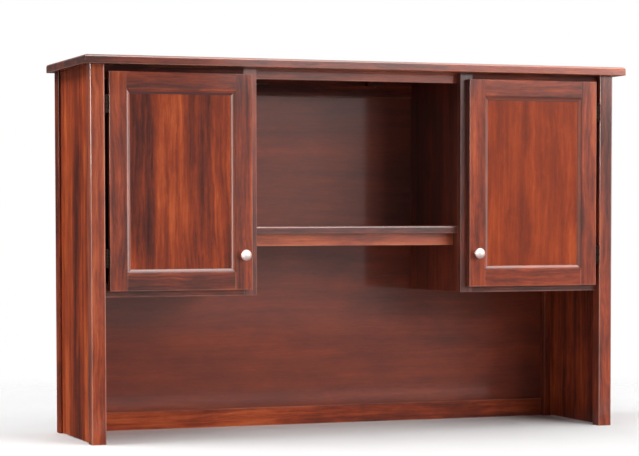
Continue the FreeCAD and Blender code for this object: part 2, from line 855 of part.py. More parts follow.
def make_pivot_pins():
    """Four hinge pins, each with a button head on the barrel."""
    pins = Piece("hinge_pins", (0, front + size.pivot_setback, 0))
    centres = [(pivot_centre * sign, as_length(0)) for sign in (-1, 1)]
    for low in (leaf_low_lower, leaf_low_upper):
        pins.rods("Pad", "z", centres, size.pivot_radius, low, size.leaf_height)
        pins.rods("Pad", "z", centres, size.pivot_head_radius, low + size.leaf_height,
                  size.pivot_head_height)


def moulded_profile():
    """Half of a frame member's section: corners from its plain edge, and the arc of its moulding.

    The first number runs across the member and the second back from its face. The inner edge
    carries a quirk, a wide bevel with a soft crown, and the groove for the panel. The arc's centre
    lies square behind the middle of the bevel.
    """
    plain = size.stile_width - size.moulding_width
    bevel_start = plain + size.moulding_step
    bevel_end = size.moulding_quirk + size.moulding_depth
    arc_centre = (
        bevel_start + moulding_bevel / 2 - size.moulding_depth * CROWN_SHARE,
        size.moulding_quirk + size.moulding_depth / 2 + moulding_bevel * CROWN_SHARE,
    )
    groove_floor = size.stile_width - door_groove_depth
    groove_back = groove_wall + groove_width
    corners = [
        (as_length(0), as_length(0)),
        (plain, as_length(0)),
        (plain, size.moulding_quirk),
        (bevel_start, size.moulding_quirk),
        (size.stile_width, bevel_end),
        (size.stile_width, groove_wall),
        (groove_floor, groove_wall),
        (groove_floor, groove_back),
        (size.stile_width, groove_back),
        (size.stile_width, size.door_thickness),
        (as_length(0), size.door_thickness),
    ]
    return corners, {3: arc_centre}


def make_stile(label, side, at_hinge):
    """An upright of a door frame, with its moulded edge towards the panel."""
    place = door_outer if at_hinge else door_inner
    stile = Piece(label, (place, front, door_low), side)
    corners, centres = moulded_profile()
    stile.side = -side if at_hinge else side
    stile.prism("Pad", "z", [corners], 0, door_height, centres)

    def outer_face(edge):
        box = edge.BoundBox
        return upright(edge) and max(abs(box.XMin), abs(box.XMax), box.YMax) < size.door_ease.value

    stile.ease(outer_face, size.door_ease)
    if at_hinge:
        bore_leaf_screws(stile, -size.overrun, size.pivot_setback, door_low)
    else:
        stile.rods("Pocket", "y", [(size.knob_inset, size.knob_height)],
                   size.bolt_radius + size.bolt_play, -size.overrun,
                   size.door_thickness + size.overrun * 2)
    return stile


def make_door_rail(label, side, at_top, stiles):
    """A rail of a door frame: a moulded length whose ends are coped over both stiles."""
    start = size.stile_width - size.moulding_width
    low = door_low + door_height if at_top else door_low
    blank = Piece(label + "_blank", (door_inner, front, low), side, kept=False)
    corners, centres = moulded_profile()
    sign = -1 if at_top else 1
    across = [(depth, height * sign) for height, depth in corners]
    middles = {key: (depth, height * sign) for key, (height, depth) in centres.items()}
    blank.prism("Pad", "x", [across], start, door_width - start * 2, middles)
    shape = blank.body
    for stile in stiles:
        cut = doc.addObject("Part::Cut", "%s_coped_by_%s" % (label, stile.body.Name))
        cut.Base = shape
        cut.Tool = stile.body
        shape = cut
    shape.Label = label
    subparts.append(shape)


def make_door_panel(name, side):
    """The flat panel, loose in the grooves of the frame."""
    inset = size.stile_width - door_groove_depth + size.panel_play
    panel = Piece(name + "_door_panel",
                  (door_inner + inset, front + groove_wall + size.groove_play,
                   door_low + inset), side)
    panel.box("Pad", (0, 0, 0),
              (door_width - inset * 2, size.door_panel_thickness, door_height - inset * 2))


def make_knob(name, side):
    """A mushroom knob on a rose, and the bolt that holds it from behind the stile."""
    place = (door_inner + size.knob_inset, front, door_low + size.knob_height)
    knob = Piece(name + "_door_knob", place, side)
    knob.body.Placement.Rotation = FreeCAD.Rotation(FreeCAD.Vector(1, 0, 0), QUARTER_TURN)
    knob.side = 1
    rise = size.knob_length - size.knob_rim
    dome = (size.knob_radius.value ** 2 + rise.value ** 2) / (2 * rise.value)
    middle = Length("(Sizes.knob_length - (Sizes.knob_radius * Sizes.knob_radius"
                    " + %s * %s) / (2 * %s))" % (rise.text, rise.text, rise.text),
                    size.knob_length.value - dome)
    knob.turn(
        [
            (0, 0),
            (size.knob_rose_radius, 0),
            (size.knob_rose_radius, size.knob_rose_height),
            (size.knob_neck_radius, size.knob_neck_height),
            (size.knob_radius, size.knob_rim),
            (0, size.knob_length),
        ],
        {4: (0, middle)},
    )

    def at_rim(edge):
        return (edge.BoundBox.XLength > size.knob_radius.value * 2 - size.overrun.value
                and edge.BoundBox.ZLength < size.overrun.value)

    def at_neck(edge):
        return (edge.BoundBox.XLength < size.knob_neck_radius.value * 2 + size.overrun.value
                and edge.BoundBox.ZLength < size.overrun.value
                and edge.BoundBox.ZMin > size.knob_rose_height.value)

    knob.ease(at_rim, size.knob_round)
    knob.ease(at_neck, size.knob_round)
    knob.rods("Pocket", "z", [(0, 0)], size.bolt_radius + size.bolt_play / 2,
              -size.overrun, size.knob_bore_depth + size.overrun)
    bolt = Piece(name + "_knob_bolt", place, side)
    bolt.rods("Pad", "y", [(0, 0)], size.bolt_radius, -size.bolt_reach,
              size.bolt_reach + size.door_thickness)
    bolt.rods("Pad", "y", [(0, 0)], size.bolt_head_radius, size.door_thickness,
              size.bolt_head_height)


def make_door_fittings(name, side):
    """The striking plate and the felt dots on the back of a door."""
    plate = Piece(name + "_strike_plate",
                  (door_inner + size.catch_inset, front + size.door_thickness,
                   floor_board_top - size.strike_margin), side)
    plate.box("Pad", (0, 0, 0), (size.catch_length, size.strike_thickness,
                                 size.catch_height + size.strike_margin * 2))
    dots = Piece(name + "_door_dots",
                 (door_inner + size.dot_inset, front + size.door_thickness, door_low), side)
    dots.rods("Pad", "y", [(0, size.dot_height), (0, door_height - size.dot_height)],
              size.dot_radius, 0, size.door_standoff - size.catch_gap)


def make_door(name, side):
    """A framed door: two stiles, two coped rails, a flat panel, its knob and its fittings."""
    stiles = [make_stile(name + "_door_hinge_stile", side, True),
              make_stile(name + "_door_latch_stile", side, False)]
    make_door_rail(name + "_door_top_rail", side, True, stiles)
    make_door_rail(name + "_door_bottom_rail", side, False, stiles)
    make_door_panel(name, side)
    make_knob(name, side)
    make_door_fittings(name, side)
    make_leaves(name + "_door_leaves", side, -1, 1)
    make_leaf_screws(name + "_door_leaf_screws", side, -1)


def make_case():
    """Everything that stands still."""
    make_top_board()
    make_back()
    for name, side in SIDES:
        make_post(name + "_front_post", side, True)
        make_post(name + "_back_post", side, False)
        make_side_panel(name, side)
        make_divider(name, side)
        make_face_frame(name, side)
        make_floor_board(name, side)
        make_loose_shelf(name, side)
        make_leaves(name + "_post_leaves", side, 1, 0)
        make_leaf_screws(name + "_post_leaf_screws", side, 1)
    make_shelf_pins()
    make_bay()
    make_blocks()
    make_catches()
    make_pivot_pins()


def check_and_write():
    """Stop if anything failed, then write one file for each sub-part."""
    doc.recompute()
    for item in doc.Objects:
        if "Invalid" in item.State or "Error" in item.State:
            raise RuntimeError("failed: " + item.Label)
    for item in subparts:
        if item.Shape.isNull() or not item.Shape.isValid():
            raise RuntimeError("bad shape: " + item.Label)
    os.makedirs("parts", exist_ok=True)
    for item in subparts:
        item.Shape.exportStep("parts/%s.step" % item.Label)
        print("%-28s %2d solids %14.1f mm3" % (item.Label, len(item.Shape.Solids),
                                               item.Shape.Volume))
    print(len(subparts), "sub-parts")


make_case()
for door_name, door_side in SIDES:
    make_door(door_name, door_side)
check_and_write()
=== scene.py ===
# %% [markdown]
# # A computer hutch, from bare solids to a finished picture
#
# The hutch is a wide case on four posts. It has a framed door left and right, an open bay with a
# shelf between the two cupboards, and an open space below them to work in.
# Every board of it is already a solid in the packed model, each with its own name, so this lesson
# brings those boards in as they are and gives them what solids lack: stained and polished wood,
# satin nickel, steel and felt, with light and a camera to see them by.

# %% Load the solids
import math

import bmesh
import bpy
from mathutils import Matrix, Vector


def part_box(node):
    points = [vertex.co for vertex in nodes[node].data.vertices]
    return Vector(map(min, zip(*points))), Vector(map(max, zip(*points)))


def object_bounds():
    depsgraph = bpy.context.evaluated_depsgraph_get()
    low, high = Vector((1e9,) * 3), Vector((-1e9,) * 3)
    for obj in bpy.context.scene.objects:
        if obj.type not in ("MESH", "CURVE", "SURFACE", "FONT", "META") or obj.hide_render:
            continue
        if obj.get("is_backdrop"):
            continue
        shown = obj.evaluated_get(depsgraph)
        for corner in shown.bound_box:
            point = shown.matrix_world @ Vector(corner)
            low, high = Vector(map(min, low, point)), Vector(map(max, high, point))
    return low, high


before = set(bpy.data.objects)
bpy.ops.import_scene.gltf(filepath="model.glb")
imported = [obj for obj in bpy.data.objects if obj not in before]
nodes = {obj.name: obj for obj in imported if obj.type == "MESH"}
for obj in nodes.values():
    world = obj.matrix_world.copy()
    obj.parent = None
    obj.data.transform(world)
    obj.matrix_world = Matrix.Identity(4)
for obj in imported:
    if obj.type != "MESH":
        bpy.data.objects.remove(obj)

solid_low, solid_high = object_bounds()
print("boards and fittings:", len(nodes))
print("hutch in mm:", [round(1000 * v) for v in solid_high - solid_low])

# %% [markdown]
# ## Camera
#
# A long lens far from the hutch keeps its upright edges nearly parallel, as in a catalogue picture.
# The camera could be aimed with a Track To constraint, but the picture's framing fixes more than a
# target does: where it stands, how far it turns, how much it looks down and how far it leans. So its
# matrix is built from those angles. The lens is shifted a little, because the hutch sits right of
# and above the middle of the picture.

# %% Stand the camera
PICTURE_WIDTH, PICTURE_HEIGHT = 639, 456
FOCAL_PIXELS = 2132.7
CENTRE_COLUMN, CENTRE_ROW = 280, 320
STAND = Vector((-2.31253, -5.83597, 0.61502))
TURN, TIP, LEAN = 0.3492, 0.0465, -0.0022


def stand_camera():
    lens = bpy.data.cameras.new("camera")
    lens.sensor_width = 36
    lens.lens = FOCAL_PIXELS / PICTURE_WIDTH * lens.sensor_width
    lens.shift_x = 0.5 - CENTRE_COLUMN / PICTURE_WIDTH
    lens.shift_y = (CENTRE_ROW - PICTURE_HEIGHT / 2) / PICTURE_WIDTH
    lens.clip_start, lens.clip_end = 0.1, 100
    ahead = Vector((math.sin(TURN) * math.cos(TIP), math.cos(TURN) * math.cos(TIP), -math.sin(TIP)))
    level = Vector((math.cos(TURN), -math.sin(TURN), 0))
    upright = level.cross(ahead)
    right = level * math.cos(LEAN) + upright * math.sin(LEAN)
    up = upright * math.cos(LEAN) - level * math.sin(LEAN)
    camera = bpy.data.objects.new("camera", lens)
    camera.matrix_world = Matrix.Translation(STAND) @ Matrix((right, up, -ahead)).transposed().to_4x4()
    bpy.context.scene.collection.objects.link(camera)
    bpy.context.scene.camera = camera
    return camera


camera = stand_camera()
print("lens in mm:", round(camera.data.lens, 1))

# %% [markdown]
# ## Floor and light
#
# The floor is one pale disc, wide enough that its rim is lost in the pale surroundings. It is kept
# out of what the wood reflects, or its glare would grey the low boards. The surroundings are white
# to the eye, but give little light, because the bay and the lower space are dark inside.

# %% Lay the floor
def pale_floor():
    mesh = bmesh.new()
    bmesh.ops.create_circle(mesh, cap_ends=True, segments=96, radius=14)
    data = bpy.data.meshes.new("floor")
    mesh.to_mesh(data)
    mesh.free()
    floor = bpy.data.objects.new("floor", data)
    floor.visible_glossy = False
    bpy.context.scene.collection.objects.link(floor)
    floor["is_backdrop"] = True
    return floor


floor = pale_floor()
print("floor across in m:", round(floor.dimensions.x))


# %% Light the surroundings
def surroundings(seen, given):
    """White to the eye, with a weaker light for everything else."""
    world = bpy.data.worlds.new("surroundings")
    world.use_nodes = True
    tree = world.node_tree
    tree.nodes.clear()
    path = tree.nodes.new("ShaderNodeLightPath")
    bright, dim = tree.nodes.new("ShaderNodeBackground"), tree.nodes.new("ShaderNodeBackground")
    bright.inputs["Color"].default_value = (1, 1, 1, 1)
    bright.inputs["Strength"].default_value = seen
    dim.inputs["Color"].default_value = (0.97, 0.98, 1, 1)
    dim.inputs["Strength"].default_value = given
    both = tree.nodes.new("ShaderNodeMixShader")
    out = tree.nodes.new("ShaderNodeOutputWorld")
    tree.links.new(path.outputs["Is Camera Ray"], both.inputs[0])
    tree.links.new(dim.outputs[0], both.inputs[1])
    tree.links.new(bright.outputs[0], both.inputs[2])
    tree.links.new(both.outputs[0], out.inputs["Surface"])
    bpy.context.scene.world = world
    return world


world = surroundings(seen=1.0, given=0.10)
print("nodes of the surroundings:", len(world.node_tree.nodes))

# %% [markdown]
# ## Lamps
#
# Polished wood shows what it reflects. A mirror in place of the door would show the point that lies
# as far to the right of the hutch as the camera lies to the left, so the lamps are of two kinds.
# Some only light the wood: a main one in front on the right, one beside the right-hand side, one
# behind, and a pair on the left, of which the one overhead casts the top board's shadow down the
# side. Others only show in the lacquer: a glint for the mouldings that face left, one for the left
# post's rounded corner, one for the top of the right post, a low one for the edges that face right,
# a ceiling for the mouldings that face up, and a strip of floor that lifts the undersides of the
# knobs. The rest, a window and the walls behind the camera, do both, and they give the back panel
# and the doors their soft haze. The low one ends below the top board: a lamp that stood higher
# would whiten the whole top when the hutch is seen from the far side.

# %% Hang the lamps
def soft_panel(name, place, aim, width, height, power, shows_in_polish=True, lights_wood=True):
    """A rectangular lamp at a place, facing a point. Sizes are in metres and the power in watts."""
    lamp = bpy.data.lights.new(name, "AREA")
    lamp.shape = "RECTANGLE"
    lamp.size, lamp.size_y = width, height
    lamp.energy = power
    holder = bpy.data.objects.new(name, lamp)
    holder.location = place
    holder.rotation_euler = (Vector(aim) - Vector(place)).to_track_quat("-Z", "Y").to_euler()
    holder.visible_camera = False
    holder.visible_glossy = shows_in_polish
    holder.visible_diffuse = lights_wood
    bpy.context.scene.collection.objects.link(holder)
    return holder


lamps = [
    soft_panel("main_light", (2.4, -4.6, 2.1), (0, 0, 0.7), 2.4, 2.2, 155, shows_in_polish=False),
    soft_panel("window", (4.3, -3.7, 1.1), (0, 0, 0.8), 2.2, 1.9, 85),
    soft_panel("front_wall", (1.0, -5.2, 0.66), (0.3, 0, 0.66), 3.0, 1.28, 6.4),
    soft_panel("high_wall", (2.7, -5.2, 1.8), (0.3, 0, 1.0), 2.8, 0.8, 21),
    soft_panel("high_corner", (4.05, -5.2, 1.5), (0.3, 0, 1.0), 0.8, 0.6, 5.5, lights_wood=False),
    soft_panel("right_strip", (3.4, 0.2, 1.0), (0.3, -0.2, 0.7), 2.6, 2.0, 30, shows_in_polish=False),
    soft_panel("right_glint", (3.4, 0.2, 0.53), (0.3, -0.2, 0.53), 2.6, 1.06, 15.9, lights_wood=False),
    soft_panel("left_strip", (-3.6, 0.4, 1.2), (-0.8, 0, 0.7), 1.4, 2.0, 22, shows_in_polish=False),
    soft_panel("left_ceiling", (-2.2, 0.2, 2.9), (-0.8, 0, 0.7), 1.6, 1.2, 80, shows_in_polish=False),
    soft_panel("left_glint", (-3.6, -3.0, 1.0), (-0.8, -0.2, 0.7), 0.9, 2.0, 42, lights_wood=False),
    soft_panel("corner_glint", (-3.9, -1.4, 1.25), (-0.8, -0.2, 1.0), 1.8, 0.9, 105, lights_wood=False),
    soft_panel("ceiling", (1.0, -2.4, 3.2), (0.4, 0, 0.7), 3.8, 2.0, 145, lights_wood=False),
    soft_panel("floor_glow", (0, -0.5, 0.02), (0, -0.5, 1), 3.0, 0.40, 1.9, lights_wood=False),
    soft_panel("back_light", (0.5, 4.5, 2.2), (0, 0, 0.6), 2.5, 1.5, 105, shows_in_polish=False),
    soft_panel("top_light", (0.6, -0.7, 3.2), (0, 0, 1.0), 3.2, 1.6, 60),
]
bpy.context.scene.view_settings.view_transform = "Standard"
print("lamps:", len(lamps), "watts in all:", sum(lamp.data.energy for lamp in lamps))

# %% [markdown]
# ## Writing a finish
#
# A finish is a tree of shader nodes. The tree could be built by hand in the editor, but wood needs
# dozens of nodes for each board, so here a small class wraps the output of a node: adding or
# multiplying two such wires adds the Math node for it. Any other node comes from one method, which
# sets the node's own settings first and then its sockets.

# %% Arithmetic on wires
class Wire:
    """A number that varies over a surface."""

    def __init__(self, finish, socket):
        self.finish = finish
        self.socket = socket

    def math(self, operation, *values):
        sockets = dict(enumerate(values))
        return self.finish.node("ShaderNodeMath", sockets, operation=operation)

    def __add__(self, other):
        return self.math("ADD", self, other)

    def __sub__(self, other):
        return self.math("SUBTRACT", self, other)

    def __rsub__(self, other):
        return self.math("SUBTRACT", other, self)

    def __mul__(self, other):
        return self.math("MULTIPLY", self, other)

    __radd__ = __add__
    __rmul__ = __mul__

    def root(self):
        return self.math("SQRT", self)

    def sine(self):
        return self.math("SINE", self)

    def size(self):
        return self.math("ABSOLUTE", self)

    def lesser(self, other):
        return self.math("MINIMUM", self, other)

    def greater(self, other):
        return self.math("MAXIMUM", self, other)

    def between(self, low, high):
        """0 below low, 1 above high, and an even rise from one to the other."""
        sockets = {"Value": self, "From Min": low, "From Max": high}
        return self.finish.node("ShaderNodeMapRange", sockets, clamp=True)


print("what a wire can do:", [name for name in vars(Wire) if not name.startswith("_")])


# %% One method for every node
class Finish:
    """A material whose nodes are written as expressions."""

    def __init__(self, name):
        self.material = bpy.data.materials.new(name)
        self.material.use_nodes = True
        self.tree = self.material.node_tree
        self.tree.nodes.clear()

    def node(self, kind, sockets=None, out=0, stops=None, **settings):
        made = self.tree.nodes.new(kind)
        for name, value in settings.items():
            setattr(made, name, value)
        if stops:
            self.set_stops(made.color_ramp, stops)
        for key, value in (sockets or {}).items():
            if isinstance(value, Wire):
                self.tree.links.new(value.socket, made.inputs[key])
            else:
                made.inputs[key].default_value = value
        return Wire(self, made.outputs[out])

    def set_stops(self, ramp, stops):
        ramp.interpolation = "B_SPLINE"
        while len(ramp.elements) < len(stops):
            ramp.elements.new(1)
        for element, (place, colour) in zip(ramp.elements, stops):
            element.position = place
            element.color = colour if len(colour) == 4 else (*colour, 1)

    def ramp(self, value, stops):
        return self.node("ShaderNodeValToRGB", {"Fac": value}, stops=stops)

    def noise(self, place, detail=2.0, rough=0.5):
        sockets = {"Vector": place, "Scale": 1.0, "Detail": detail, "Roughness": rough}
        return self.node("ShaderNodeTexNoise", sockets)

    def blend(self, share, first, second):
        """Mixes two colours."""
        sockets = {0: share, 6: first, 7: second}
        return self.node("ShaderNodeMix", sockets, out=2, data_type="RGBA")

    def axis(self, place, number):
        return self.node("ShaderNodeSeparateXYZ", {0: place}, out=number)

    def stretch(self, place, along, across, seed):
        """Scales a place and slides it, so that every seed meets another part of a pattern."""
        slide = (3.1 * seed, 7.7 * seed, 1.3 * seed)
        sockets = {0: place, 1: (along, across, across), 2: slide}
        return self.node("ShaderNodeVectorMath", sockets, operation="MULTIPLY_ADD")

    def surface(self, colour, roughness, bump=None, **constants):
        """The shader: what varies is wired, what is the same all over is set on its socket."""
        sockets = {"Base Color": colour, "Roughness": roughness}
        if bump:
            sockets["Normal"] = bump
        for name, value in constants.items():
            sockets[name.replace("_", " ").title().replace("Ior", "IOR")] = value
        shader = self.node("ShaderNodeBsdfPrincipled", sockets)
        end = self.tree.nodes.new("ShaderNodeOutputMaterial")
        self.tree.links.new(shader.socket, end.inputs["Surface"])
        return self.material


print("what a finish can do:", [name for name in vars(Finish) if not name.startswith("_")])

# %% [markdown]
# ## Where a board's grain runs
#
# Every board's grain runs along its length, and no two boards show the same figure. The pattern is
# read from Object coordinates, in metres. A Mapping node moves it to the middle of its own board,
# turns the board's length onto X, and slides it along so that each board is cut from another part of
# the tree. Then X is always along the grain, Y across the face and Z through the board.

# %% Turn the grain along a board
TURNS = {
    "upright, seen from the front": ((0, 0, 1), (1, 0, 0), (0, 1, 0)),
    "upright, seen from the side": ((0, 0, 1), (0, 1, 0), (1, 0, 0)),
    "level, seen from the front": ((1, 0, 0), (0, 0, 1), (0, 1, 0)),
    "level, seen from above": ((1, 0, 0), (0, 1, 0), (0, 0, 1)),
}
UP_FRONT, UP_SIDE, LEVEL_FRONT, LEVEL_TOP = TURNS


def board_space(finish, node, lie):
    """Object coordinates moved to the middle of a board and turned so that X runs along it."""
    low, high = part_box(node)
    rows = Matrix(TURNS[lie])
    if rows.determinant() < 0:
        rows[2] = -rows[2]
    turned = rows @ ((low + high) / 2)
    place = finish.node("ShaderNodeTexCoord", out="Object")
    sockets = {"Vector": place, "Rotation": rows.to_euler(), "Location": -turned}
    return finish.node("ShaderNodeMapping", sockets, vector_type="POINT")


print("ways a board can lie:", len(TURNS))

# %% [markdown]
# ## Stained and lacquered wood
#
# The boards are a close-grained hardwood under a red-brown stain and a clear lacquer. A picture of
# wood wrapped round each board would repeat and smear on the ends, so the wood is grown instead, as
# a solid: growth rings round a heart that lies outside the board, broad and narrow streaks along the
# grain, cloudy places where the stain took unevenly, fine fibres, and short pores. All of these move
# one number, the tone, up and down, and the stain is one ramp that turns the tone into a colour,
# from nearly black brown to orange. The lacquer is the shader's coat, and its gloss is how much the
# wood below it shines. Sharp edges are rounded by a Bevel node, where they catch the light. Rounded
# corners and mouldings are real faces of the solids. On sharp edges, rounded corners and mouldings
# the stain is rubbed thinner, and the lighter colour there is also a painted highlight for the light
# they catch. The mouldings under the doors' top rails get painted shade instead. On some boards the
# tone also slopes from one end to the other, as painted light and shade.

# %% Stain colours
STAIN = [
    (0.00, (0.028, 0.009, 0.008)),
    (0.30, (0.082, 0.020, 0.014)),
    (0.52, (0.180, 0.032, 0.015)),
    (0.75, (0.330, 0.054, 0.017)),
    (1.00, (0.500, 0.110, 0.034)),
]
print("stain runs through", len(STAIN), "colours")

# %% Growth rings
RING_SPACING = 0.011


def growth_rings(finish, place, heart, spacing, seed):
    """Rings round the heart of the tree, which lies at (across, through) from the board's middle."""
    wander = finish.noise(finish.stretch(place, 1.1, 5, seed), detail=2) - 0.5
    across = finish.axis(place, 1) + wander * 0.05 - heart[0]
    through = finish.axis(place, 2) - heart[1]
    reach = (across * across + through * through).root() + finish.axis(place, 0) * 0.028
    return ((reach + wander * 0.02) * (2 * math.pi / spacing)).sine() * 0.5 + 0.5


print("rings across a board 60 mm wide:", round(0.060 / RING_SPACING, 1))

# %% Streaks that stand at set places
STREAK_SWAY = 0.22


def set_streaks(finish, place, width, bands, seed):
    """A tone for each place across a board, from stops that the eye would pick out on it."""
    sway = finish.noise(finish.stretch(place, 1.6, 2.5, seed + 3), detail=3, rough=0.55) - 0.5
    share = finish.axis(place, 1) * (1 / width) + sway * STREAK_SWAY + 0.5
    stops = [(at, (tone, tone, tone)) for at, tone in bands]
    return finish.ramp(share, stops)


print("most that a streak sways, as a share of a board's width:", STREAK_SWAY / 2)

# %% Rubbed edges and painted highlights
# Sharp edges are lightened within this reach: a rubbed stain that is also a painted highlight.
RUB_AND_HIGHLIGHT_REACH = 0.004


def rubbed_and_highlit_edges(finish, place, half, reach):
    """1 on a board's edges, falling to 0 at reach from them. The middle one of the three distances
    to the faces is how far the nearest edge is."""
    to_face = [half[k] - finish.axis(place, k).size() for k in range(3)]
    low = to_face[0].lesser(to_face[1])
    high = to_face[0].greater(to_face[1])
    middle = low.greater(high.lesser(to_face[2]))
    return 1 - middle.between(0.0, reach)


print("stain is rubbed within mm of an edge:", 1000 * RUB_AND_HIGHLIGHT_REACH)

# %% Turned faces
# First colour on sharp edges, second on mouldings and rounded corners: rubbed stain and painted highlight.
WORN_AND_HIGHLIT, RUBBED_AND_HIGHLIT = (0.50, 0.19, 0.11, 1), (0.66, 0.33, 0.25, 1)
SQUARE_ON, TURNED = 0.98, 0.90


def turned_faces(finish):
    """1 on mouldings and rounded edges, which face none of the board's own three ways."""
    facing = finish.node("ShaderNodeTexCoord", out="Normal")
    x, y, z = (finish.axis(facing, number).size() for number in range(3))
    return 1 - x.greater(y).greater(z).between(TURNED, SQUARE_ON)


print("a face is wholly turned from degrees:", round(math.degrees(math.acos(TURNED))))

# %% One board's wood
BROAD, MIDDLING, NARROW, FLECK = (0.9, 20), (2.2, 50), (4, 120), (18, 230)
CLOUD, FIBRE, PORES = (6, 13), (16, 620), (80, 1500)
FACES_UP, DULLED = (0.998, 0.9999), 0.45


def wood(node, lie, seed, tone=0.5, heart=(0.0, -0.08), spacing=RING_SPACING, bands=None, fade=None,
         painted_light_slope=0.0, streak=1.0, coat=0.7, gloss=0.20, wear_and_highlight=0.45, edge=0.18, arris=0.0015,
         edge_stain_and_painted_light=RUBBED_AND_HIGHLIT, dull_top=False):
    """The finish of one board. tone darkens or lightens it, and the slope does so from one end to the
    other: painted light and shade, for light that falls unevenly along the board. streak is how lively
    the figure is, bands are streaks at set places, which fade between two points of its length, coat
    and gloss are the lacquer, wear lightens sharp edges and edge rounded ones. There the stain is
    rubbed thinner, and the lighter colour is also a painted highlight. The colour on rounded ones is
    the edge stain, which for the top rails' mouldings is painted shade instead. dull_top leaves the
    upper face without its lacquer. Each pattern's two numbers are its waves to the metre along and
    across."""
    finish = Finish(f"wood_{node}")
    place = board_space(finish, node, lie)
    low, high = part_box(node)
    half = [abs(part) / 2 for part in Matrix(TURNS[lie]) @ (high - low)]
    waver = (finish.noise(finish.stretch(place, 2.2, 5, seed + 4), detail=2) - 0.5) * 0.040
    curl = (finish.noise(finish.stretch(place, 9, 16, seed + 6), detail=3) - 0.5) * 0.014
    aside = finish.node("ShaderNodeCombineXYZ", {1: waver + curl, 2: waver + curl})
    grown = finish.node("ShaderNodeVectorMath", {0: place, 1: aside}, operation="ADD")
    broad = finish.noise(finish.stretch(grown, *BROAD, seed), detail=3, rough=0.6)
    middling = finish.noise(finish.stretch(grown, *MIDDLING, seed + 5), detail=3, rough=0.6)
    narrow = finish.noise(finish.stretch(grown, *NARROW, seed + 1), detail=4, rough=0.65)
    fleck = finish.noise(finish.stretch(grown, *FLECK, seed + 2), detail=4, rough=0.65)
    cloud = finish.noise(finish.stretch(place, *CLOUD, seed + 2), detail=4, rough=0.62)
    rings = growth_rings(finish, grown, heart, spacing, seed)
    figure = (broad - 0.5) * 1.05 + (middling - 0.5) * 0.85
    figure = figure + (narrow - 0.5) * 0.50 + (fleck - 0.5) * 0.40 + (rings - 0.5) * 0.055
    shade = figure * streak + (cloud - 0.5) * (0.20 + 0.50 * streak) + tone
    # Painted light and shade: the tone rises or falls along the board, for light falling unevenly.
    shade = shade + finish.axis(place, 0) * painted_light_slope
    if bands:
        shift = set_streaks(finish, place, half[1] * 2, bands, seed) - 0.5
        if fade:
            shift = shift * (1 - finish.axis(place, 0).between(*fade))
        shade = shade + shift * 0.9
    fibre = finish.noise(finish.stretch(grown, *FIBRE, seed), detail=2, rough=0.6)
    pores = finish.noise(finish.stretch(place, *PORES, seed), detail=1).between(0.66, 0.74)
    worn_and_highlit = rubbed_and_highlit_edges(finish, place, half, RUB_AND_HIGHLIGHT_REACH) * cloud.between(0.30, 0.60)
    colour = finish.ramp(shade + (fibre - 0.5) * 0.20 - pores * 0.12, STAIN)
    # Sharp edges: a rubbed stain that is also a painted highlight.
    colour = finish.blend(worn_and_highlit * wear_and_highlight, colour, WORN_AND_HIGHLIT)
    # Mouldings and rounded corners: rubbed stain and painted highlight, or a member's painted shade.
    colour = finish.blend(turned_faces(finish) * edge, colour, edge_stain_and_painted_light)
    roughness = 0.36 + (narrow - 0.5) * 0.16 + worn_and_highlit * 0.10 + pores * 0.15
    if dull_top:
        facing = finish.node("ShaderNodeNewGeometry", out="True Normal")
        upper = finish.axis(facing, 2).between(*FACES_UP)
        roughness = roughness + upper * DULLED
        coat = coat * (1 - upper)
    height = fibre * 0.5 + narrow * 0.6 - pores * 0.7
    rounded = finish.node("ShaderNodeBevel", {"Radius": arris}, samples=6)
    sockets = {"Strength": 0.16, "Distance": 0.0004, "Height": height, "Normal": rounded}
    bump = finish.node("ShaderNodeBump", sockets)
    return finish.surface(colour, roughness, bump, coat_weight=coat, coat_roughness=0.10,
                          specular_ior_level=gloss)


def dress(node, material):
    for slot in nodes[node].material_slots:
        slot.material = material


print("finishes before the first board:", len(bpy.data.materials))

# %% [markdown]
# ## Case
#
# The four posts and the top board are solid and show the liveliest wood. The top board's upper face
# stands above eye level and is left without lacquer. The side panels between the posts are a veneer
# with upright grain and little lacquer, and the left one, which the camera sees, has a straight dark
# streak down its middle. The back is a wide level-grained sheet, plainer and darker than the rest,
# as such sheets are, and it is polished, so it mirrors the wall in front of it. A board could be
# given its tone by eye in the editor, but with sixty boards it is quicker to write the tones down
# side by side and change the one that stands out.

# %% Posts
SIDES = ("left", "right")
FRONT_POSTS = {
    "left": dict(tone=0.67, wear_and_highlight=0.45, coat=0.7, gloss=0.22),
    # The right post's slope is painted light: lighter at its foot, darker at its top.
    "right": dict(tone=0.47, wear_and_highlight=0.15, coat=0.8, gloss=0.24, painted_light_slope=-0.20),
}
for number, side in enumerate(SIDES):
    name = f"{side}_front_post"
    dress(name, wood(name, UP_FRONT, 11 + number, heart=(0.05, 0.06), edge=0.26, arris=0.0025,
                     **FRONT_POSTS[side]))
    name = f"{side}_back_post"
    dress(name, wood(name, UP_FRONT, 15 + number, tone=0.52, heart=(-0.05, 0.04), edge=0.02, wear_and_highlight=0.05,
                     coat=0.1, gloss=0.03))
print("posts dressed:", 2 * len(SIDES))

# %% Side panels
SIDE_STREAK = [(0.0, 0.62), (0.30, 0.60), (0.40, 0.12), (0.50, 0.10), (0.60, 0.62), (1.0, 0.55)]
# The left side's slope is painted shade and light: darker under the top board, lighter low down.
dress("left_side_panel", wood("left_side_panel", UP_SIDE, 19, tone=0.64, bands=SIDE_STREAK,
                              fade=(0.25, 0.42), painted_light_slope=-0.12, coat=0.08, gloss=0.02))
dress("right_side_panel", wood("right_side_panel", UP_SIDE, 20, tone=0.57, coat=0.15, gloss=0.05))
print("side panels dressed, streaks on the left one:", len(SIDE_STREAK))

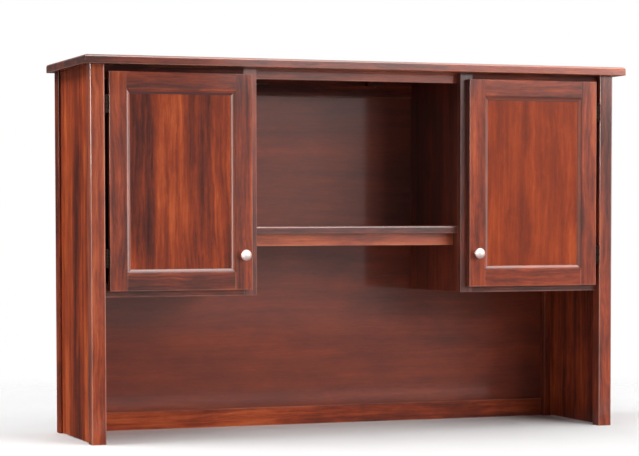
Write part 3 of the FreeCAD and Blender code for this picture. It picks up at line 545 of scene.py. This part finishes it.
# %% Top board, back and the rails of the case
# The top board's slope is painted light: it is lighter towards its right end.
dress("top_board", wood("top_board", LEVEL_TOP, 23, tone=0.56, heart=(0.10, -0.20), spacing=0.016,
                        painted_light_slope=0.29, coat=0.8, gloss=0.33, edge=0.24, dull_top=True))
dress("back_panel", wood("back_panel", LEVEL_FRONT, 27, tone=0.50, heart=(0.02, -0.06), streak=0.22,
                         coat=1.0, gloss=0.3))
CASE_RAILS = (
    ("back_top_rail", 0.50, 0.3),
    ("back_bottom_rail", 0.60, 0.3),
    ("bay_top_rail", 0.52, 0.7),
    ("bay_shelf_apron", 0.71, 1.0),
)
for number, (rail, tone, coat) in enumerate(CASE_RAILS):
    dress(rail, wood(rail, LEVEL_FRONT, 31 + number, tone=tone, heart=(0.06, -0.05), coat=coat,
                     gloss=coat * 0.45))
dress("bay_shelf", wood("bay_shelf", LEVEL_TOP, 36, tone=0.36, heart=(0.05, -0.15), coat=1.0, gloss=0.5,
                        wear_and_highlight=0.1, edge=0.08))
print("rails dressed:", len(CASE_RAILS))

# %% Face frames
# The top rails' low tone is painted shade: they lie in the shadow under the top board.
FRAME_RAILS = {
    "top": dict(tone=0.24, coat=0.1, gloss=0.05),
    "bottom": dict(tone=0.30, coat=0.6, gloss=0.35),
}
for number, side in enumerate(SIDES):
    seed = 40 + 10 * number
    name = f"{side}_frame_stile"
    dress(name, wood(name, UP_FRONT, seed, tone=0.40, heart=(0.04, 0.05), coat=1.0, gloss=0.5, wear_and_highlight=0.2))
    for step, (rail, look) in enumerate(FRAME_RAILS.items()):
        name = f"{side}_frame_{rail}_rail"
        dress(name, wood(name, LEVEL_FRONT, seed + 1 + step, heart=(0.05, 0.05), **look))
print("face frames dressed:", len(SIDES), "of", 1 + len(FRAME_RAILS), "members")

# %% Dividers and the boards in the cupboards
# The dividers' slope is painted shade: they are darker towards their tops.
CUPBOARD_BOARDS = (
    ("divider", UP_SIDE, 3, 0.42, 0.7, -0.35),
    ("cupboard_floor", LEVEL_TOP, 4, 0.42, 0.7, 0.0),
    ("cupboard_shelf", LEVEL_TOP, 5, 0.45, 0.7, 0.0),
    ("floor_cleat", LEVEL_TOP, 6, 0.40, 1.0, 0.0),
)
for number, side in enumerate(SIDES):
    for board, lie, step, tone, streak, painted_light_slope in CUPBOARD_BOARDS:
        name = f"{side}_{board}"
        dress(name, wood(name, lie, 40 + 10 * number + step, tone=tone, streak=streak, painted_light_slope=painted_light_slope))
dress("top_blocks", wood("top_blocks", LEVEL_TOP, 60, tone=0.18, coat=0.1))
print("boards dressed in each cupboard:", len(CUPBOARD_BOARDS))

# %% [markdown]
# ## Doors
#
# A door's frame is four separate boards, and it reads as joinery only if the stiles' grain runs up,
# the rails' grain runs across, and each board has its own colour. The moulding under the top rail
# lies in that rail's shadow, and the shade is painted into its colour, dark where the other
# mouldings are lightened with a rubbed stain and a painted highlight. The left door's panel is cut
# from wilder wood: a dark band on the left, bright orange streaks in the middle, and another at the
# right edge. The right door's panel is even and warm.

# %% Door frames
FRAME_TONES = {
    "left": {"hinge_stile": 0.60, "latch_stile": 0.57, "top_rail": 0.54, "bottom_rail": 0.31},
    "right": {"hinge_stile": 0.55, "latch_stile": 0.53, "top_rail": 0.51, "bottom_rail": 0.55},
}
FRAME_HEARTS = {"hinge_stile": 0.06, "latch_stile": -0.04, "top_rail": 0.06, "bottom_rail": 0.06}
# Painted shade for the mouldings under the top rails, for the shadow that the rails cast on them.
PAINTED_SHADE = {"left": (0.100, 0.036, 0.036, 1), "right": (0.19, 0.060, 0.043, 1)}
for number, side in enumerate(SIDES):
    for step, (member, tone) in enumerate(FRAME_TONES[side].items()):
        name = f"{side}_door_{member}"
        lie = UP_FRONT if member.endswith("stile") else LEVEL_FRONT
        moulding = dict(wear_and_highlight=0.45, edge=0.18)
        # The top rail's moulding gets painted shade and no lightened edges.
        if member == "top_rail":
            moulding = dict(wear_and_highlight=0.0, edge=1.0, edge_stain_and_painted_light=PAINTED_SHADE[side])
        dress(name, wood(name, lie, 70 + 10 * number + step, tone=tone, arris=0.0025,
                         heart=(FRAME_HEARTS[member], 0.05), **moulding))
print("members in a door's frame:", len(FRAME_HEARTS))

# %% Door panels
PANELS = {
    "left": dict(tone=0.57, streak=0.9, fade=(-0.12, -0.26), bands=[
        (0.0, 0.16), (0.20, 0.12), (0.27, 0.72), (0.42, 0.82), (0.54, 0.66), (0.62, 0.25),
        (0.78, 0.30), (0.86, 0.80), (0.96, 0.62)]),
    "right": dict(tone=0.59, streak=0.42, bands=[
        (0.0, 0.58), (0.25, 0.54), (0.45, 0.44), (0.7, 0.60), (1.0, 0.56)]),
}
for number, side in enumerate(SIDES):
    name = f"{side}_door_panel"
    dress(name, wood(name, UP_FRONT, 74 + 10 * number, coat=0.30, gloss=0.06, **PANELS[side]))
print("set streaks in the panels:", [len(PANELS[side]["bands"]) for side in SIDES])

# %% [markdown]
# ## Metal, plastic and felt
#
# The knobs are satin nickel, turned on a lathe and then brushed, so their fine lines run in circles
# round the knob's own axis. The hinges are small dark ones that hide in the gap beside the door. The
# catches are moulded plastic, and two felt dots keep each door from knocking.

# %% Satin nickel
def satin_nickel(node):
    """Metal with the fine circular lines that turning and brushing leave."""
    finish = Finish(f"nickel_{node}")
    place = board_space(finish, node, LEVEL_TOP)
    x, y, z = (finish.axis(place, number) for number in range(3))
    ring = (x * x + z * z).root()
    turned = finish.node("ShaderNodeCombineXYZ", {0: ring * 2600, 1: y * 2600, 2: 0.0})
    lines = finish.noise(turned, detail=2, rough=0.7)
    smears = finish.noise(finish.stretch(place, 130, 130, 5), detail=3)
    # The pink in the tint is painted reflection of the red-brown wood round the knobs.
    tint = finish.ramp(smears, [(0.3, (0.92, 0.76, 0.71)), (0.7, (0.98, 0.85, 0.81))])
    roughness = 0.54 + lines * 0.12 + smears * 0.08
    bump = finish.node("ShaderNodeBump", {"Strength": 0.10, "Distance": 0.0002, "Height": lines})
    return finish.surface(tint, roughness, bump, metallic=1.0)


for side in SIDES:
    dress(f"{side}_door_knob", satin_nickel(f"{side}_door_knob"))

# %% Dark and plated steel
BRONZE = ((0.014, 0.008, 0.006), (0.028, 0.016, 0.012))
SCREW = ((0.16, 0.12, 0.085), (0.27, 0.21, 0.15))
ZINC = ((0.52, 0.52, 0.53), (0.70, 0.70, 0.71))


def steel(node, dark, light, rough):
    """Metal with cloudy plating, a few scratches, and rubbed edges."""
    finish = Finish(f"metal_{node}")
    place = finish.node("ShaderNodeTexCoord", out="Object")
    clouds = finish.noise(finish.stretch(place, 90, 90, 3), detail=4, rough=0.6)
    scratches = finish.noise(finish.stretch(place, 60, 1500, 8), detail=1).between(0.62, 0.72)
    rounded = finish.node("ShaderNodeBevel", {"Radius": 0.0006}, samples=6)
    flat = finish.node("ShaderNodeNewGeometry", out="Normal")
    facing = finish.node("ShaderNodeVectorMath", {0: rounded, 1: flat}, out="Value", operation="DOT_PRODUCT")
    rubbed = (1 - facing).between(0.02, 0.30)
    tint = finish.ramp(clouds, [(0.3, dark), (0.7, light)])
    tint = finish.blend(rubbed * 0.25, tint, (0.45, 0.40, 0.34, 1))
    roughness = rough + (clouds - 0.5) * 0.2 + scratches * 0.15
    sockets = {"Strength": 0.12, "Distance": 0.0002, "Height": clouds + scratches * 0.4, "Normal": rounded}
    return finish.surface(tint, roughness, finish.node("ShaderNodeBump", sockets), metallic=1.0)


STEEL_PIECES = {
    "hinge_pins": (*BRONZE, 0.55),
    "shelf_pins": (*ZINC, 0.28),
    "catch_screws": (*SCREW, 0.40),
    "top_screws": (*SCREW, 0.40),
}
for side in SIDES:
    for part in ("post_leaves", "door_leaves"):
        STEEL_PIECES[f"{side}_{part}"] = (*BRONZE, 0.58)
    for part in ("post_leaf_screws", "door_leaf_screws"):
        STEEL_PIECES[f"{side}_{part}"] = (*SCREW, 0.40)
    for part in ("knob_bolt", "strike_plate"):
        STEEL_PIECES[f"{side}_{part}"] = (*ZINC, 0.30)
for piece, look in STEEL_PIECES.items():
    dress(piece, steel(piece, *look))
print("steel pieces dressed:", len(STEEL_PIECES))


# %% Moulded plastic and felt
def moulded_plastic(node):
    finish = Finish(f"plastic_{node}")
    place = finish.node("ShaderNodeTexCoord", out="Object")
    grit = finish.noise(finish.stretch(place, 900, 900, 2), detail=2)
    flow = finish.noise(finish.stretch(place, 60, 60, 4), detail=2)
    tint = finish.ramp(flow, [(0.3, (0.030, 0.014, 0.009)), (0.7, (0.050, 0.026, 0.017))])
    bump = finish.node("ShaderNodeBump", {"Strength": 0.25, "Distance": 0.0002, "Height": grit})
    return finish.surface(tint, 0.38 + grit * 0.2, bump)


def felt(node):
    finish = Finish(f"felt_{node}")
    place = finish.node("ShaderNodeTexCoord", out="Object")
    nap = finish.noise(finish.stretch(place, 1400, 1400, 6), detail=4, rough=0.7)
    matted = finish.noise(finish.stretch(place, 260, 260, 7), detail=2)
    tint = finish.ramp(nap * 0.7 + matted * 0.3, [(0.35, (0.055, 0.030, 0.020)), (0.65, (0.16, 0.10, 0.07))])
    bump = finish.node("ShaderNodeBump", {"Strength": 0.6, "Distance": 0.0004, "Height": nap})
    return finish.surface(tint, 0.88 + matted * 0.1, bump, sheen_weight=0.4, sheen_roughness=0.5)


dress("magnetic_catches", moulded_plastic("magnetic_catches"))
for side in SIDES:
    dress(f"{side}_door_dots", felt(f"{side}_door_dots"))
print("catches and dots dressed:", 1 + len(SIDES))


# %% The floor's finish
def floor_finish():
    finish = Finish("pale_floor")
    place = finish.node("ShaderNodeTexCoord", out="Object")
    mottle = finish.noise(finish.stretch(place, 3, 3, 1), detail=4)
    tint = finish.ramp(mottle, [(0.3, (0.80, 0.80, 0.80)), (0.7, (0.84, 0.84, 0.84))])
    reach = finish.node("ShaderNodeVectorMath", {0: place}, out="Value", operation="LENGTH")
    near = 1 - reach.between(1.0, 2.4)
    return finish.surface(tint, 0.6 + mottle * 0.1, alpha=near)


floor.data.materials.append(floor_finish())
made = {slot.material.name for board in nodes.values() for slot in board.material_slots}
print("pieces:", len(nodes), "finishes on them:", len(made))

# %% [markdown]
# ## Check the size
#
# Nothing added for looks may make the hutch bigger than its solids. The two boxes are written down
# so that they can be compared.

# %% Write the two boxes
dressed_low, dressed_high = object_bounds()
growth = (dressed_high - dressed_low) - (solid_high - solid_low)
print("grown by, in mm:", [round(1000 * v, 2) for v in growth])
